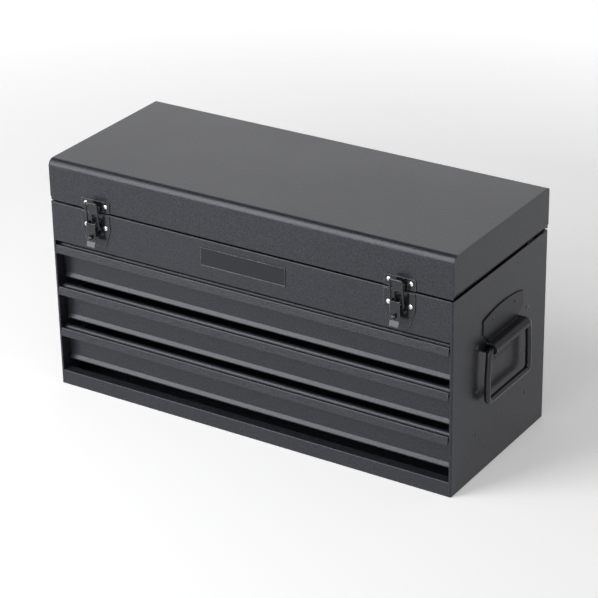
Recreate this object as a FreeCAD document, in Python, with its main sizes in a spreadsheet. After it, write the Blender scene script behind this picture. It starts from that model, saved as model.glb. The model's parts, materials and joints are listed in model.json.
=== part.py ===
import FreeCAD
import Part

import os
import re

import Sketcher

# Machinist tool chest: a steel cabinet with a hinged lid over a top compartment, three drawers
# on ball slides, two draw latches at the front and a drop handle at each end.
# Frame in millimetres: X to the chest's right, Y towards its back, Z up. The origin is the
# middle of the cabinet's underside. Pieces in pairs are drawn once, on the right, and mirrored.
# The lid is closed, the drawers are in, the handles hang and the latch levers are down, with
# each latch loop standing just in front of its hook.

SIZES = (
    # Cabinet
    ("chest_width", 508.0, "outside width of the cabinet"),
    ("chest_depth", 207.5, "outside depth of the cabinet"),
    ("chest_height", 226.0, "height of the cabinet's rim"),
    ("steel", 1.0, "sheet of the cabinet, lid and drawer fronts"),
    ("front_return", 3.0, "front edge of each side, turned inwards"),
    ("wall_hem", 8.0, "height of the doubled rim of the walls"),
    ("corner_bend", 1.6, "outside radius of the upright bends"),
    ("rail_height", 17.0, "front rail below the drawers"),
    ("rail_return", 12.0, "top of the front rail, turned back"),
    ("pan_flange", 12.0, "upstands of the bottom pan"),
    ("panel_height", 46.7, "height of the fixed front panel"),
    ("panel_return", 12.0, "lower edge of the panel, turned back"),
    ("panel_hem", 6.0, "height of the panel's doubled top edge"),
    ("edge_round", 1.0, "outside radius of the folded front edges"),
    ("floor_flange", 8.0, "turned-down edges of the compartment's floor"),
    ("overrun", 1.0, "how far cuts run past what they cut"),
    # Drawers
    ("pull_gap", 5.3, "between the front panel and the top drawer's pull"),
    ("front_clear", 7.3, "between a drawer front and the pull below it"),
    ("front_gap", 1.0, "between the drawer fronts and the side returns"),
    ("rail_gap", 9.5, "between the lowest drawer front and the rail"),
    ("lip_drop", 9.1, "height of the pull's lip"),
    ("lip_lean", 2.0, "how far the lip's lower edge leans forward"),
    ("lip_fold", 2.0, "thickness of the folded top of the lip"),
    ("groove_depth", 5.0, "groove behind the lip, below its top"),
    ("ledge_start", 5.7, "front edge of the ledge behind the groove"),
    ("ledge_drop", 1.0, "ledge below the lip's top"),
    ("face_setback", 14.0, "recessed face behind the cabinet's front"),
    ("flare_height", 6.0, "flared foot of the face"),
    ("flare_reach", 3.5, "how far the flare comes forward"),
    ("foot_return", 12.0, "lower edge of the front, turned back"),
    ("lip_round", 1.0, "outside radius of the lip's top"),
    ("ledge_round", 0.8, "outside radius of the ledge's edges"),
    ("flare_round", 1.5, "outside radius of the flare's foot"),
    ("drawer_steel", 0.8, "sheet of the drawer boxes"),
    ("box_top_drop", 5.0, "rim of the box below the pull's top"),
    ("box_hem", 4.0, "side rims of the box, turned inwards"),
    ("box_back_gap", 8.0, "between the box and the cabinet's back"),
    # Ball slides
    ("slide_thickness", 12.7, "from the cabinet's wall to the drawer box"),
    ("slide_height", 35.0, "height of the outer member"),
    ("slide_length", 176.0, "length of both members"),
    ("slide_setback", 18.5, "front end behind the cabinet's front"),
    ("slide_drop", 22.5, "centre line below the pull's top"),
    ("slide_steel", 1.2, "sheet of both members"),
    ("slide_depth", 9.2, "depth of the outer channel"),
    ("slide_lip", 2.5, "turned edges of the outer channel"),
    ("slide_bend", 1.5, "outside radius of the channel's bends"),
    ("inner_height", 22.8, "height of the inner member"),
    ("inner_start", 2.6, "free edges of the inner member off the wall"),
    ("cage_steel", 0.6, "strip of the ball cage"),
    ("cage_start", 1.7, "web of the cage off the wall"),
    ("cage_depth", 5.6, "width of the cage's ball strips"),
    ("cage_height", 28.2, "height of the cage"),
    ("cage_length", 50.0, "length of the cage"),
    ("ball_hole", 2.45, "radius of the cage's ball holes"),
    ("ball_pitch", 10.0, "from one ball to the next"),
    # Lid and hinge
    ("lid_gap", 1.8, "between the cabinet's rim and the lid"),
    ("lid_rise", 49.2, "top of the lid above the cabinet's rim"),
    ("lid_setback", 1.0, "lid's face behind the cabinet's front"),
    ("lid_overhang", 0.4, "lid past the cabinet's ends"),
    ("lid_front_round", 8.0, "outside radius of the lid's front edge"),
    ("lid_back_round", 3.5, "outside radius of the lid's back edge"),
    ("band_height", 5.0, "inclined band along the lid ends' lower edge"),
    ("band_in", 2.2, "how far the band turns inwards"),
    ("lid_open_angle", 95.0, "how far the lid opens, in degrees"),
    ("knuckle_radius", 2.6, "outside radius of the hinge knuckles"),
    ("knuckle_pitch", 42.0, "from one knuckle to the next"),
    ("knuckle_gap", 0.4, "between neighbouring knuckles"),
    ("hinge_pin_radius", 1.2, "radius of the hinge pin"),
    ("leaf_steel", 1.0, "sheet of the hinge leaves"),
    ("leaf_height", 14.0, "height of a leaf from the hinge pin"),
    ("back_gap", 0.3, "between the knuckles and the cabinet's back"),
    ("pin_play", 0.05, "radial clearance of the pins"),
    # Lid stays: pivot and guide pin lie on one circle round the hinge pin
    ("stay_circle", 36.0, "radius of that circle"),
    ("stay_high_angle", 46.0, "pivot above the level of the hinge pin, in degrees"),
    ("stay_low_angle", 7.0, "guide pin below that level, in degrees"),
    ("stay_steel", 1.5, "thickness of the stay"),
    ("stay_half_width", 4.7, "half the width of the stay"),
    ("stay_gap", 1.1, "between the wall's hem and the stay"),
    ("stay_pin_radius", 2.4, "radius of the guide pin"),
    ("stay_rivet_radius", 2.0, "radius of the pivot rivet"),
    ("slot_play", 0.3, "between the guide pin and the slot"),
    ("slot_slack", 0.6, "slot past the guide pin at both ends"),
    ("head_steel", 1.0, "thickness of the pin heads"),
    ("head_radius", 4.0, "radius of the pin heads"),
    ("head_play", 0.3, "between a head and the stay"),
    # Draw latches: measured from the lever's pivot and from the cabinet's front
    ("latch_inset", 62.0, "latch's middle from the chest's end"),
    ("latch_drop", 12.6, "lever pivot below the cabinet's rim"),
    ("latch_steel", 1.0, "thickness of the latch plates"),
    ("plate_half_width", 18.6, "half the width of both plates"),
    ("plate_foot_half", 12.0, "half the width of the base plate's foot"),
    ("base_top", 11.4, "top of the base plate above the pivot"),
    ("base_waist", 7.6, "start of the base plate's taper below the pivot"),
    ("base_low", 26.3, "foot of the base plate below the pivot"),
    ("plate_round", 1.5, "corner radius of both plates"),
    ("pivot_out", 6.6, "lever pivot in front of the cabinet"),
    ("latch_pin_radius", 1.3, "radius of the lever's pin"),
    ("ear_start", 3.6, "inner face of an ear from the latch's middle"),
    ("ear_steel", 1.0, "thickness of an ear"),
    ("ear_radius", 2.7, "radius of an ear round the pin"),
    ("side_play", 0.3, "between an ear and the lever, and the lever and the loop"),
    ("lever_steel", 1.0, "sheet of the lever"),
    ("lever_reach", 3.0, "lever's face in front of its pivot"),
    ("lever_top", 3.2, "top of the lever's face above the pivot"),
    ("lever_round", 4.4, "radius of the lever's flanges round the pivot"),
    ("lever_waist", 10.0, "start of the lever's taper below the pivot"),
    ("lever_knee", 18.5, "start of the finger tip below the pivot"),
    ("lever_low", 24.1, "finger tip below the pivot"),
    ("tip_out", 2.2, "how far the finger tip turns out"),
    ("tip_half_width", 5.3, "half the width of the finger tip"),
    ("eye_edge", 2.3, "edge of the lever's flanges behind the loop's foot"),
    ("slot_half_width", 3.4, "half the width of the lever's slot"),
    ("slot_top", 9.0, "top of the lever's slot below the pivot"),
    ("slot_low", 17.6, "foot of the lever's slot below the pivot"),
    ("staple_half", 1.0, "half the thickness of the staple"),
    ("staple_reach", 12.7, "centre of the staple's eye in front of the cabinet"),
    ("staple_drop", 13.2, "staple below the pivot"),
    ("staple_radius", 2.6, "radius of the staple's end"),
    ("staple_hole", 1.6, "radius of the staple's eye"),
    ("loop_wire", 1.2, "radius of the loop's wire"),
    ("loop_bend", 1.7, "bend radius of the loop on its centre line"),
    ("loop_inward", 1.0, "loop's foot behind the lever's pivot"),
    ("loop_drop", 4.4, "loop's foot below the lever's pivot"),
    ("loop_rise", 26.0, "loop's bar above the lever's pivot"),
    ("loop_play", 0.3, "between the bar and the hook"),
    ("strike_top", 26.8, "top of the strike plate above the pivot"),
    ("hook_steel", 1.1, "thickness of the hook"),
    ("hook_half_width", 5.5, "half the width of the hook"),
    ("hook_reach", 7.3, "front of the hook before the lid's face"),
    ("hook_top", 24.9, "top of the hook above the pivot"),
    ("hook_root", 20.0, "where the hook leaves the strike plate"),
    ("hook_low", 12.0, "foot of the hook's bend above the pivot"),
    ("hook_slope", 1.4, "height of the bend's flanks"),
    ("hook_gap", 0.3, "hook in front of the cabinet's plate"),
    # Drop handles: measured from the middle of the barrel
    ("handle_back", 4.0, "handle behind the chest's middle"),
    ("handle_drop", 81.0, "handle's pivot below the cabinet's rim"),
    ("bracket_steel", 1.5, "thickness of the bracket's plate"),
    ("bracket_half", 44.0, "half the width of the bracket"),
    ("bracket_top", 33.0, "start of the arched top above the pivot"),
    ("bracket_rise", 5.5, "rise of the arched top"),
    ("bracket_side", 17.0, "foot of the straight sides above the pivot"),
    ("bracket_waist", 2.0, "foot of the slanted sides above the pivot"),
    ("tongue_half", 27.0, "half the width of the lower tongue"),
    ("tongue_low", 23.0, "foot of the lower tongue below the pivot"),
    ("tongue_cut", 7.0, "width of the lower tongue's cut corners"),
    ("tongue_chamfer", 3.0, "height of the cut corners"),
    ("bail_out", 8.0, "handle's pivot off the chest's side"),
    ("bail_radius", 3.5, "radius of the handle's rod"),
    ("barrel_play", 0.4, "between the rod and the barrel"),
    ("barrel_wall", 2.2, "wall of the barrel"),
    ("barrel_half", 37.5, "half the length of the barrel"),
    ("bail_bend", 6.0, "bend radius of the rod on its centre line"),
    ("bail_foot", 26.0, "inner end of the rod in the barrel"),
    ("bail_shoulder", 43.5, "rod's shoulder beside the barrel"),
    ("bail_half", 46.0, "rod's straight leg"),
    ("bail_flare", 28.0, "foot of the flared shoulder below the pivot"),
    ("bail_drop", 59.0, "grip below the pivot"),
)

DRAWERS = 3
CABINET_KNUCKLES = 6
LID_KNUCKLES = 5
CAGE_BALLS = 4

# Places that several pieces share, as formulas in the sheet's names
FRONT = "-chest_depth/2"
BACK = "chest_depth/2"
WALL = "(chest_width/2 - steel)"
OPENING = "(chest_width/2 - front_return)"
FRONT_HALF = "(chest_width/2 - front_return - front_gap)"
BOX_HALF = "(chest_width/2 - steel - slide_thickness)"
BOX_BACK = "(chest_depth - steel - box_back_gap)"
PANEL_LOW = "(chest_height - panel_height)"
TOP_PULL = "(chest_height - panel_height - pull_gap)"
PITCH = f"(({TOP_PULL} - rail_height - rail_gap + front_clear)/{DRAWERS})"
FRONT_HEIGHT = f"({PITCH} - front_clear)"
LID_FRONT = "(lid_setback - chest_depth/2)"
LID_FOOT = "(chest_height + lid_gap)"
LID_TOP = "(chest_height + lid_rise)"
LID_HALF = "(chest_width/2 + lid_overhang)"
HINGE_Y = "(chest_depth/2 + back_gap + knuckle_radius)"
HINGE_Z = "(chest_height + lid_gap/2)"
STAY_FACE = "(chest_width/2 - 2*steel - stay_gap)"
FLANGE_START = "(ear_start + ear_steel + side_play)"
LEVER_HALF = "(ear_start + ear_steel + side_play + lever_steel)"
LOOP_HALF = "(ear_start + ear_steel + 2*side_play + lever_steel + loop_wire)"
LATCH_X = "(chest_width/2 - latch_inset)"
LATCH_Z = "(chest_height - latch_drop)"
HOOK_FACE = "(hook_reach - lid_setback)"
BARREL_RADIUS = "(bail_radius + barrel_play + barrel_wall)"
BORE_RADIUS = "(bail_radius + barrel_play)"

X_AXIS = FreeCAD.Vector(1, 0, 0)
Z_AXIS = FreeCAD.Vector(0, 0, 1)

doc = FreeCAD.newDocument("ToolChest")
sheet = doc.addObject("Spreadsheet::Sheet", "Sizes")
parts = []


def fill_sheet():
    """Writes each size, its meaning and its alias."""
    for row, (name, size, meaning) in enumerate(SIZES, start=1):
        sheet.set(f"A{row}", name)
        sheet.set(f"B{row}", str(size))
        sheet.set(f"C{row}", meaning)
        sheet.setAlias(f"B{row}", name)
    doc.recompute()


def spell(formula):
    """Turns a formula in the sheet's names into one that any object can hold."""
    return re.sub(r"\b[a-z]\w*\b(?!\()", r"Sizes.\g<0>", formula)


def value(formula):
    result = sheet.evalExpression(spell(formula))
    return float(getattr(result, "Value", result))


def bind(owner, path, formula):
    owner.setExpression(path, spell(formula))


def new_body(label):
    body = doc.addObject("PartDesign::Body", label)
    body.Label = label
    return body


def keep(piece):
    """Adds a finished piece to the parts that are written out."""
    parts.append(piece)
    return piece


def new_sketch(body, plane, offset="0"):
    """A sketch on one of the body's own origin planes, or parallel to it."""
    sketch = body.newObject("Sketcher::SketchObject", body.Name + "_sketch")
    support = next(item for item in body.Origin.OriginFeatures if item.Role == plane + "_Plane")
    sketch.AttachmentSupport = [(support, "")]
    sketch.MapMode = "FlatFace"
    if offset != "0":
        bind(sketch, "AttachmentOffset.Base.z", offset)
    return sketch


def fix(sketch, geometry, point, across, along):
    """Holds a point of the sketch at its two formulas; None leaves a direction free."""
    for kind, formula, axis in (("DistanceX", across, -2), ("DistanceY", along, -1)):
        if formula is None:
            continue
        if formula == "0":
            sketch.addConstraint(Sketcher.Constraint("PointOnObject", geometry, point, axis))
            continue
        rule = Sketcher.Constraint(kind, -1, 1, geometry, point, value(formula))
        number = sketch.addConstraint(rule)
        sketch.renameConstraint(number, f"{kind}{number}")
        bind(sketch, f"Constraints.{kind}{number}", formula)


def fix_radius(sketch, geometry, radius):
    number = sketch.addConstraint(Sketcher.Constraint("Radius", geometry, value(radius)))
    sketch.renameConstraint(number, f"Radius{number}")
    bind(sketch, f"Constraints.Radius{number}", radius)


def spot(across, along):
    return FreeCAD.Vector(value(across), value(along), 0)


def arc_between(start, end, centre):
    """The anticlockwise arc from start to end."""
    circle = Part.Circle(centre, Z_AXIS, (start - centre).Length)
    return Part.ArcOfCircle(circle, circle.parameter(start), circle.parameter(end))


def outline(sketch, corners):
    """Closes an outline through corners, which run anticlockwise where there are arcs.

    A corner is two formulas. Two more are the centre of an arc from there to the next corner."""
    spots = [spot(corner[0], corner[1]) for corner in corners]
    first = sketch.GeometryCount
    count = len(corners)
    for index, corner in enumerate(corners):
        start, end = spots[index], spots[(index + 1) % count]
        if len(corner) == 2:
            sketch.addGeometry(Part.LineSegment(start, end))
        else:
            sketch.addGeometry(arc_between(start, end, spot(corner[2], corner[3])))
    for index in range(count):
        following = first + (index + 1) % count
        sketch.addConstraint(Sketcher.Constraint("Coincident", first + index, 2, following, 1))
    for index, corner in enumerate(corners):
        fix(sketch, first + index, 1, corner[0], corner[1])
        if len(corner) == 4:
            chord = spots[(index + 1) % count] - spots[index]
            if abs(chord.y) > abs(chord.x):
                fix(sketch, first + index, 3, corner[2], None)
            else:
                fix(sketch, first + index, 3, None, corner[3])


def mirrored(corners):
    """Corners on the positive side, followed by their images on the other."""
    images = [(f"-({across})", along) for across, along in reversed(corners)]
    return list(corners) + images


def box_outline(sketch, left, low, right, top):
    outline(sketch, [(left, low), (right, low), (right, top), (left, top)])


def ring(sketch, across, along, radius):
    circle = Part.Circle(spot(across, along), Z_AXIS, value(radius))
    geometry = sketch.addGeometry(circle)
    fix(sketch, geometry, 3, across, along)
    fix_radius(sketch, geometry, radius)


def pad(body, sketch, length, both_ways=False, reverse=False):
    feature = body.newObject("PartDesign::Pad", body.Name + "_pad")
    feature.Profile = sketch
    bind(feature, "Length", length)
    if both_ways:
        feature.SideType = "Symmetric"
    feature.Reversed = reverse
    return feature


def pocket(body, sketch, length=None, both_ways=False):
    """Cuts to a depth behind the sketch, half of it to each side, or right through."""
    doc.recompute()
    before = body.Shape.Volume
    feature = body.newObject("PartDesign::Pocket", body.Name + "_pocket")
    feature.Profile = sketch
    if length is None:
        feature.Type = "ThroughAll"
    else:
        bind(feature, "Length", length)
    if both_ways or length is None:
        feature.SideType = "Symmetric"
    doc.recompute()
    if not body.Shape.Volume < before:
        raise ValueError(f"a cut in {body.Label} removes nothing")
    return feature


def round_edges(body, radius, axis, spots):
    """Rounds the edges that run along an axis through spots of the other two axes."""
    doc.recompute()
    others = [item for item in range(3) if item != axis]
    wanted = [(value(across), value(along)) for across, along in spots]
    names = []
    for number, edge in enumerate(body.Tip.Shape.Edges, start=1):
        ends = [vertex.Point for vertex in edge.Vertexes]
        if len(ends) != 2 or edge.Curve.TypeId != "Part::GeomLine":
            continue
        if max(abs(ends[0][item] - ends[1][item]) for item in others) > Part.Precision.confusion():
            continue
        for across, along in wanted:
            off = max(abs(ends[0][others[0]] - across), abs(ends[0][others[1]] - along))
            if off < Part.Precision.approximation():
                names.append(f"Edge{number}")
    if len(names) < len(wanted):
        raise ValueError(f"{body.Label} lacks an edge to round")
    sharp = body.Tip
    feature = body.newObject("PartDesign::Fillet", body.Name + "_fillet")
    feature.Base = (sharp, names)
    bind(feature, "Radius", radius)


def bent_path(sketch, corners, bend):
    """An open path of straight runs joined by tangent bends of one radius."""
    spots = [spot(*corner) for corner in corners]
    guides = []
    for start, end in zip(spots, spots[1:]):
        guides.append(sketch.addGeometry(Part.LineSegment(start, end), True))
    for index, guide in enumerate(guides):
        fix(sketch, guide, 1, *corners[index])
        if index:
            sketch.addConstraint(Sketcher.Constraint("Coincident", guides[index - 1], 2, guide, 1))
    fix(sketch, guides[-1], 2, *corners[-1])
    radius = value(bend)
    starts, ends, bends = [spots[0]], [], []
    for before, corner, after in zip(spots, spots[1:], spots[2:]):
        inward = (corner - before).normalize()
        outward = (after - corner).normalize()
        setback = radius * ((1 - inward.dot(outward)) / (1 + inward.dot(outward))) ** 0.5
        ends.append(corner - inward * setback)
        starts.append(corner + outward * setback)
        turn = 1 if inward.cross(outward).z > 0 else -1
        bends.append((turn, ends[-1] + FreeCAD.Vector(-inward.y, inward.x, 0) * radius * turn))
    ends.append(spots[-1])
    runs = [sketch.addGeometry(Part.LineSegment(*pair)) for pair in zip(starts, ends)]
    sketch.addConstraint(Sketcher.Constraint("Coincident", runs[0], 1, guides[0], 1))
    sketch.addConstraint(Sketcher.Constraint("Coincident", runs[-1], 2, guides[-1], 2))
    for index, (turn, centre) in enumerate(bends):
        sketch.addConstraint(Sketcher.Constraint("PointOnObject", runs[index], 2, guides[index]))
        sketch.addConstraint(Sketcher.Constraint("PointOnObject", runs[index + 1], 1, guides[index + 1]))
        tips = (ends[index], starts[index + 1])
        entry, leave = (1, 2) if turn > 0 else (2, 1)
        arc = sketch.addGeometry(arc_between(*(tips if turn > 0 else tips[::-1]), centre))
        sketch.addConstraint(Sketcher.Constraint("Tangent", runs[index], 2, arc, entry))
        sketch.addConstraint(Sketcher.Constraint("Tangent", arc, leave, runs[index + 1], 1))
        fix_radius(sketch, arc, bend)


def pipe(body, section, path):
    feature = body.newObject("PartDesign::AdditivePipe", body.Name + "_pipe")
    feature.Profile = section
    feature.Spine = path
    return feature


def place(piece, across="0", along="0", up="0", axis=None, angle="0"):
    if axis is not None:
        piece.Placement = FreeCAD.Placement(FreeCAD.Vector(), FreeCAD.Rotation(axis, value(angle)))
        bind(piece, "Placement.Rotation.Angle", angle)
    bind(piece, "Placement.Base.x", across)
    bind(piece, "Placement.Base.y", along)
    bind(piece, "Placement.Base.z", up)


def image(piece, label):
    """The piece's mirror image on the chest's other side."""
    twin = doc.addObject("Part::Mirroring", label)
    twin.Source = piece
    twin.Normal = X_AXIS
    twin.Label = label
    return twin


def keep_pair(piece, name):
    """Keeps a piece of the right side and its image on the left."""
    piece.Label = name + "_right"
    keep(piece)
    keep(image(piece, name + "_left"))


def keep_together(piece, label):
    """Keeps a piece and its image as one part of two solids."""
    twin = image(piece, label + "_image")
    group = doc.addObject("Part::Compound", label)
    group.Links = [piece, twin]
    piece.Label = label + "_source"
    group.Label = label
    keep(group)


# Cabinet


def cabinet_wrap():
    """Sides and back in one folded sheet, with turned front edges and a hemmed rim."""
    body = new_body("cabinet_wrap")
    plan = new_sketch(body, "XY")
    outline(plan, mirrored([
        (WALL, f"{BACK} - steel"),
        (WALL, f"{FRONT} + steel"),
        (OPENING, f"{FRONT} + steel"),
        (OPENING, FRONT),
        ("chest_width/2", FRONT),
        ("chest_width/2", BACK),
    ]))
    pad(body, plan, "chest_height")
    hem = new_sketch(body, "XY", "chest_height - wall_hem")
    outline(hem, mirrored([
        (f"{WALL} - steel", f"{BACK} - 2*steel"),
        (f"{WALL} - steel", f"{FRONT} + 2*steel"),
        (WALL, f"{FRONT} + 2*steel"),
        (WALL, f"{BACK} - steel"),
    ]))
    pad(body, hem, "wall_hem")
    round_edges(body, "corner_bend", 2, [
        (f"{side}chest_width/2", face) for side in ("", "-") for face in (FRONT, BACK)
    ])
    keep(body)


def bottom_pan():
    """Bottom sheet with the front rail, a back flange and side upstands."""
    body = new_body("bottom_pan")
    profile = new_sketch(body, "YZ")
    outline(profile, [
        (FRONT, "0"),
        (f"{BACK} - steel", "0"),
        (f"{BACK} - steel", "pan_flange"),
        (f"{BACK} - 2*steel", "pan_flange"),
        (f"{BACK} - 2*steel", "steel"),
        (f"{FRONT} + steel", "steel"),
        (f"{FRONT} + steel", "rail_height - steel"),
        (f"{FRONT} + rail_return", "rail_height - steel"),
        (f"{FRONT} + rail_return", "rail_height"),
        (FRONT, "rail_height"),
    ])
    pad(body, profile, f"2*{WALL}", both_ways=True)
    corners = new_sketch(body, "XY")
    box_outline(corners, OPENING, f"{FRONT} - overrun", f"{WALL} + overrun", f"{FRONT} + steel")
    box_outline(corners, f"-{WALL} - overrun", f"{FRONT} - overrun", f"-{OPENING}", f"{FRONT} + steel")
    pocket(body, corners)
    flanges = new_sketch(body, "XY", "steel")
    low, high = f"{FRONT} + rail_return", f"{BACK} - 2*steel"
    box_outline(flanges, f"{WALL} - steel", low, WALL, high)
    box_outline(flanges, f"-{WALL}", low, f"-{WALL} + steel", high)
    pad(body, flanges, "pan_flange - steel")
    round_edges(body, "edge_round", 0, [(FRONT, "rail_height")])
    keep(body)


def front_panel():
    """Fixed panel below the lid: hemmed at the top, turned back at the foot."""
    body = new_body("front_panel")
    profile = new_sketch(body, "YZ")
    outline(profile, [
        (FRONT, PANEL_LOW),
        (f"{FRONT} + panel_return", PANEL_LOW),
        (f"{FRONT} + panel_return", f"{PANEL_LOW} + steel"),
        (f"{FRONT} + steel", f"{PANEL_LOW} + steel"),
        (f"{FRONT} + steel", "chest_height - panel_hem"),
        (f"{FRONT} + 2*steel", "chest_height - panel_hem"),
        (f"{FRONT} + 2*steel", "chest_height"),
        (FRONT, "chest_height"),
    ])
    pad(body, profile, f"2*{OPENING}", both_ways=True)
    round_edges(body, "edge_round", 0, [(FRONT, PANEL_LOW), (FRONT, "chest_height")])
    keep(body)


def compartment_floor():
    """Floor of the top compartment: rests on the front panel's return, flanged down elsewhere."""
    body = new_body("compartment_floor")
    plan = new_sketch(body, "XY", f"{PANEL_LOW} + steel")
    box_outline(plan, f"-{WALL}", f"{FRONT} + steel", WALL, f"{BACK} - steel")
    pad(body, plan, "steel")
    flanges = new_sketch(body, "XY", f"{PANEL_LOW} + steel")
    front = f"{FRONT} + panel_return + steel"
    outline(flanges, mirrored([
        (f"{WALL} - steel", f"{BACK} - 2*steel"),
        (f"{WALL} - steel", front),
        (WALL, front),
        (WALL, f"{BACK} - steel"),
    ]))
    pad(body, flanges, "floor_flange", reverse=True)
    keep(body)


# Drawers, drawn from the pull's top edge and the cabinet's front


def pull_height(number):
    return f"({TOP_PULL} - {number - 1}*{PITCH})"


def drawer_front(number):
    """Roll-formed front: hanging pull lip, groove, ledge, recessed face and flared foot."""
    body = new_body(f"drawer_front_{number}")
    under = "(groove_depth + steel)"
    low = f"-{FRONT_HEIGHT}"
    knee = f"flare_height - {FRONT_HEIGHT}"
    profile = new_sketch(body, "YZ")
    outline(profile, [
        ("-lip_lean", "-lip_drop"),
        ("-lip_lean + steel", "-lip_drop"),
        (f"steel - lip_lean*{under}/lip_drop", f"-{under}"),
        ("ledge_start + steel", f"-{under}"),
        ("ledge_start + steel", "-ledge_drop - steel"),
        ("face_setback", "-ledge_drop - steel"),
        ("face_setback", knee),
        ("face_setback - flare_reach", low),
        ("face_setback + foot_return", low),
        ("face_setback + foot_return", f"steel + {low}"),
        ("face_setback - flare_reach + steel + steel/2", f"steel + {low}"),
        ("face_setback + steel", knee),
        ("face_setback + steel", "-ledge_drop"),
        ("ledge_start", "-ledge_drop"),
        ("ledge_start", "-groove_depth"),
        ("lip_fold", "-groove_depth"),
        ("lip_fold", "0"),
        ("0", "0"),
    ])
    pad(body, profile, f"2*{FRONT_HALF}", both_ways=True)
    round_edges(body, "lip_round", 0, [("0", "0")])
    round_edges(body, "ledge_round", 0, [
        ("lip_fold", "0"),
        ("ledge_start", "-ledge_drop"),
        ("face_setback + steel", "-ledge_drop"),
    ])
    round_edges(body, "flare_round", 0, [("face_setback - flare_reach", low)])
    place(body, along=FRONT, up=pull_height(number))
    keep(body)


def drawer_box(number):
    """Open box behind the front, with the side rims turned inwards."""
    body = new_body(f"drawer_box_{number}")
    front = "(face_setback + steel)"
    low = f"(steel - {FRONT_HEIGHT})"
    plan = new_sketch(body, "XY", low)
    box_outline(plan, f"-{BOX_HALF}", front, BOX_HALF, BOX_BACK)
    pad(body, plan, f"-box_top_drop - {low}")
    mouth = new_sketch(body, "XY", "-box_top_drop")
    half = f"({BOX_HALF} - drawer_steel - box_hem)"
    box_outline(mouth, f"-{half}", f"{front} + drawer_steel", half, f"{BOX_BACK} - drawer_steel")
    pocket(body, mouth, f"-box_top_drop - {low} - drawer_steel")
    hollow = new_sketch(body, "XY", "-box_top_drop - drawer_steel")
    half = f"({BOX_HALF} - drawer_steel)"
    box_outline(hollow, f"-{half}", f"{front} + drawer_steel", half, f"{BOX_BACK} - drawer_steel")
    pocket(body, hollow, f"-box_top_drop - {low} - 2*drawer_steel")
    place(body, along=FRONT, up=pull_height(number))
    keep(body)


# Ball slides, drawn from the cabinet's wall towards the drawer


def place_slide(body, number):
    place(body, WALL, f"{FRONT} + slide_setback + slide_length/2", f"{pull_height(number)} - slide_drop")


def slide_outer(number):
    """Outer channel on the cabinet's wall, its edges turned to hold the balls."""
    body = new_body(f"slide_outer_{number}")
    profile = new_sketch(body, "XZ")
    outline(profile, [
        ("0", "-slide_height/2"),
        ("0", "slide_height/2"),
        ("-slide_depth", "slide_height/2"),
        ("-slide_depth", "slide_height/2 - slide_lip"),
        ("slide_steel - slide_depth", "slide_height/2 - slide_lip"),
        ("slide_steel - slide_depth", "slide_height/2 - slide_steel"),
        ("-slide_steel", "slide_height/2 - slide_steel"),
        ("-slide_steel", "slide_steel - slide_height/2"),
        ("slide_steel - slide_depth", "slide_steel - slide_height/2"),
        ("slide_steel - slide_depth", "slide_lip - slide_height/2"),
        ("-slide_depth", "slide_lip - slide_height/2"),
        ("-slide_depth", "-slide_height/2"),
    ])
    pad(body, profile, "slide_length", both_ways=True)
    round_edges(body, "slide_bend", 1, [
        (across, f"{side}slide_height/2") for across in ("0", "-slide_depth") for side in ("", "-")
    ])
    place_slide(body, number)
    keep_pair(body, f"slide_outer_{number}")


def slide_inner(number):
    """Inner channel on the drawer box, open towards the wall."""
    body = new_body(f"slide_inner_{number}")
    profile = new_sketch(body, "XZ")
    outline(profile, [
        ("-slide_thickness", "-inner_height/2"),
        ("-inner_start", "-inner_height/2"),
        ("-inner_start", "slide_steel - inner_height/2"),
        ("slide_steel - slide_thickness", "slide_steel - inner_height/2"),
        ("slide_steel - slide_thickness", "inner_height/2 - slide_steel"),
        ("-inner_start", "inner_height/2 - slide_steel"),
        ("-inner_start", "inner_height/2"),
        ("-slide_thickness", "inner_height/2"),
    ])
    pad(body, profile, "slide_length", both_ways=True)
    place_slide(body, number)
    keep_pair(body, f"slide_inner_{number}")


def ball_cages(number):
    """Strips that space the balls between the two members, left and right."""
    body = new_body(f"ball_cages_{number}")
    profile = new_sketch(body, "XZ")
    reach = "(cage_start + cage_steel + cage_depth)"
    outline(profile, [
        ("-cage_start", "-cage_height/2"),
        ("-cage_start", "cage_height/2"),
        (f"-{reach}", "cage_height/2"),
        (f"-{reach}", "cage_height/2 - cage_steel"),
        ("-cage_start - cage_steel", "cage_height/2 - cage_steel"),
        ("-cage_start - cage_steel", "cage_steel - cage_height/2"),
        (f"-{reach}", "cage_steel - cage_height/2"),
        (f"-{reach}", "-cage_height/2"),
    ])
    pad(body, profile, "cage_length", both_ways=True)
    holes = new_sketch(body, "XY")
    for ball in range(CAGE_BALLS):
        along = f"ball_pitch*({2*ball + 1 - CAGE_BALLS}/2)"
        ring(holes, "-cage_start - cage_steel - cage_depth/2", along, "ball_hole")
    pocket(body, holes)
    place_slide(body, number)
    keep_together(body, f"ball_cages_{number}")


# Lid and its hinge


def lid_shell():
    """Front, top and back of the lid in one folded sheet."""
    body = new_body("lid_shell")
    profile = new_sketch(body, "YZ")
    outline(profile, [
        (LID_FRONT, LID_FOOT),
        (f"{LID_FRONT} + steel", LID_FOOT),
        (f"{LID_FRONT} + steel", f"{LID_TOP} - steel"),
        (f"{BACK} - steel", f"{LID_TOP} - steel"),
        (f"{BACK} - steel", LID_FOOT),
        (BACK, LID_FOOT),
        (BACK, LID_TOP),
        (LID_FRONT, LID_TOP),
    ])
    pad(body, profile, f"2*({LID_HALF} - steel)", both_ways=True)
    round_edges(body, "lid_front_round", 0, [(LID_FRONT, LID_TOP)])
    round_edges(body, "lid_front_round - steel", 0, [(f"{LID_FRONT} + steel", f"{LID_TOP} - steel")])
    round_edges(body, "lid_back_round", 0, [(BACK, LID_TOP)])
    round_edges(body, "lid_back_round - steel", 0, [(f"{BACK} - steel", f"{LID_TOP} - steel")])
    keep(body)


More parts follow.
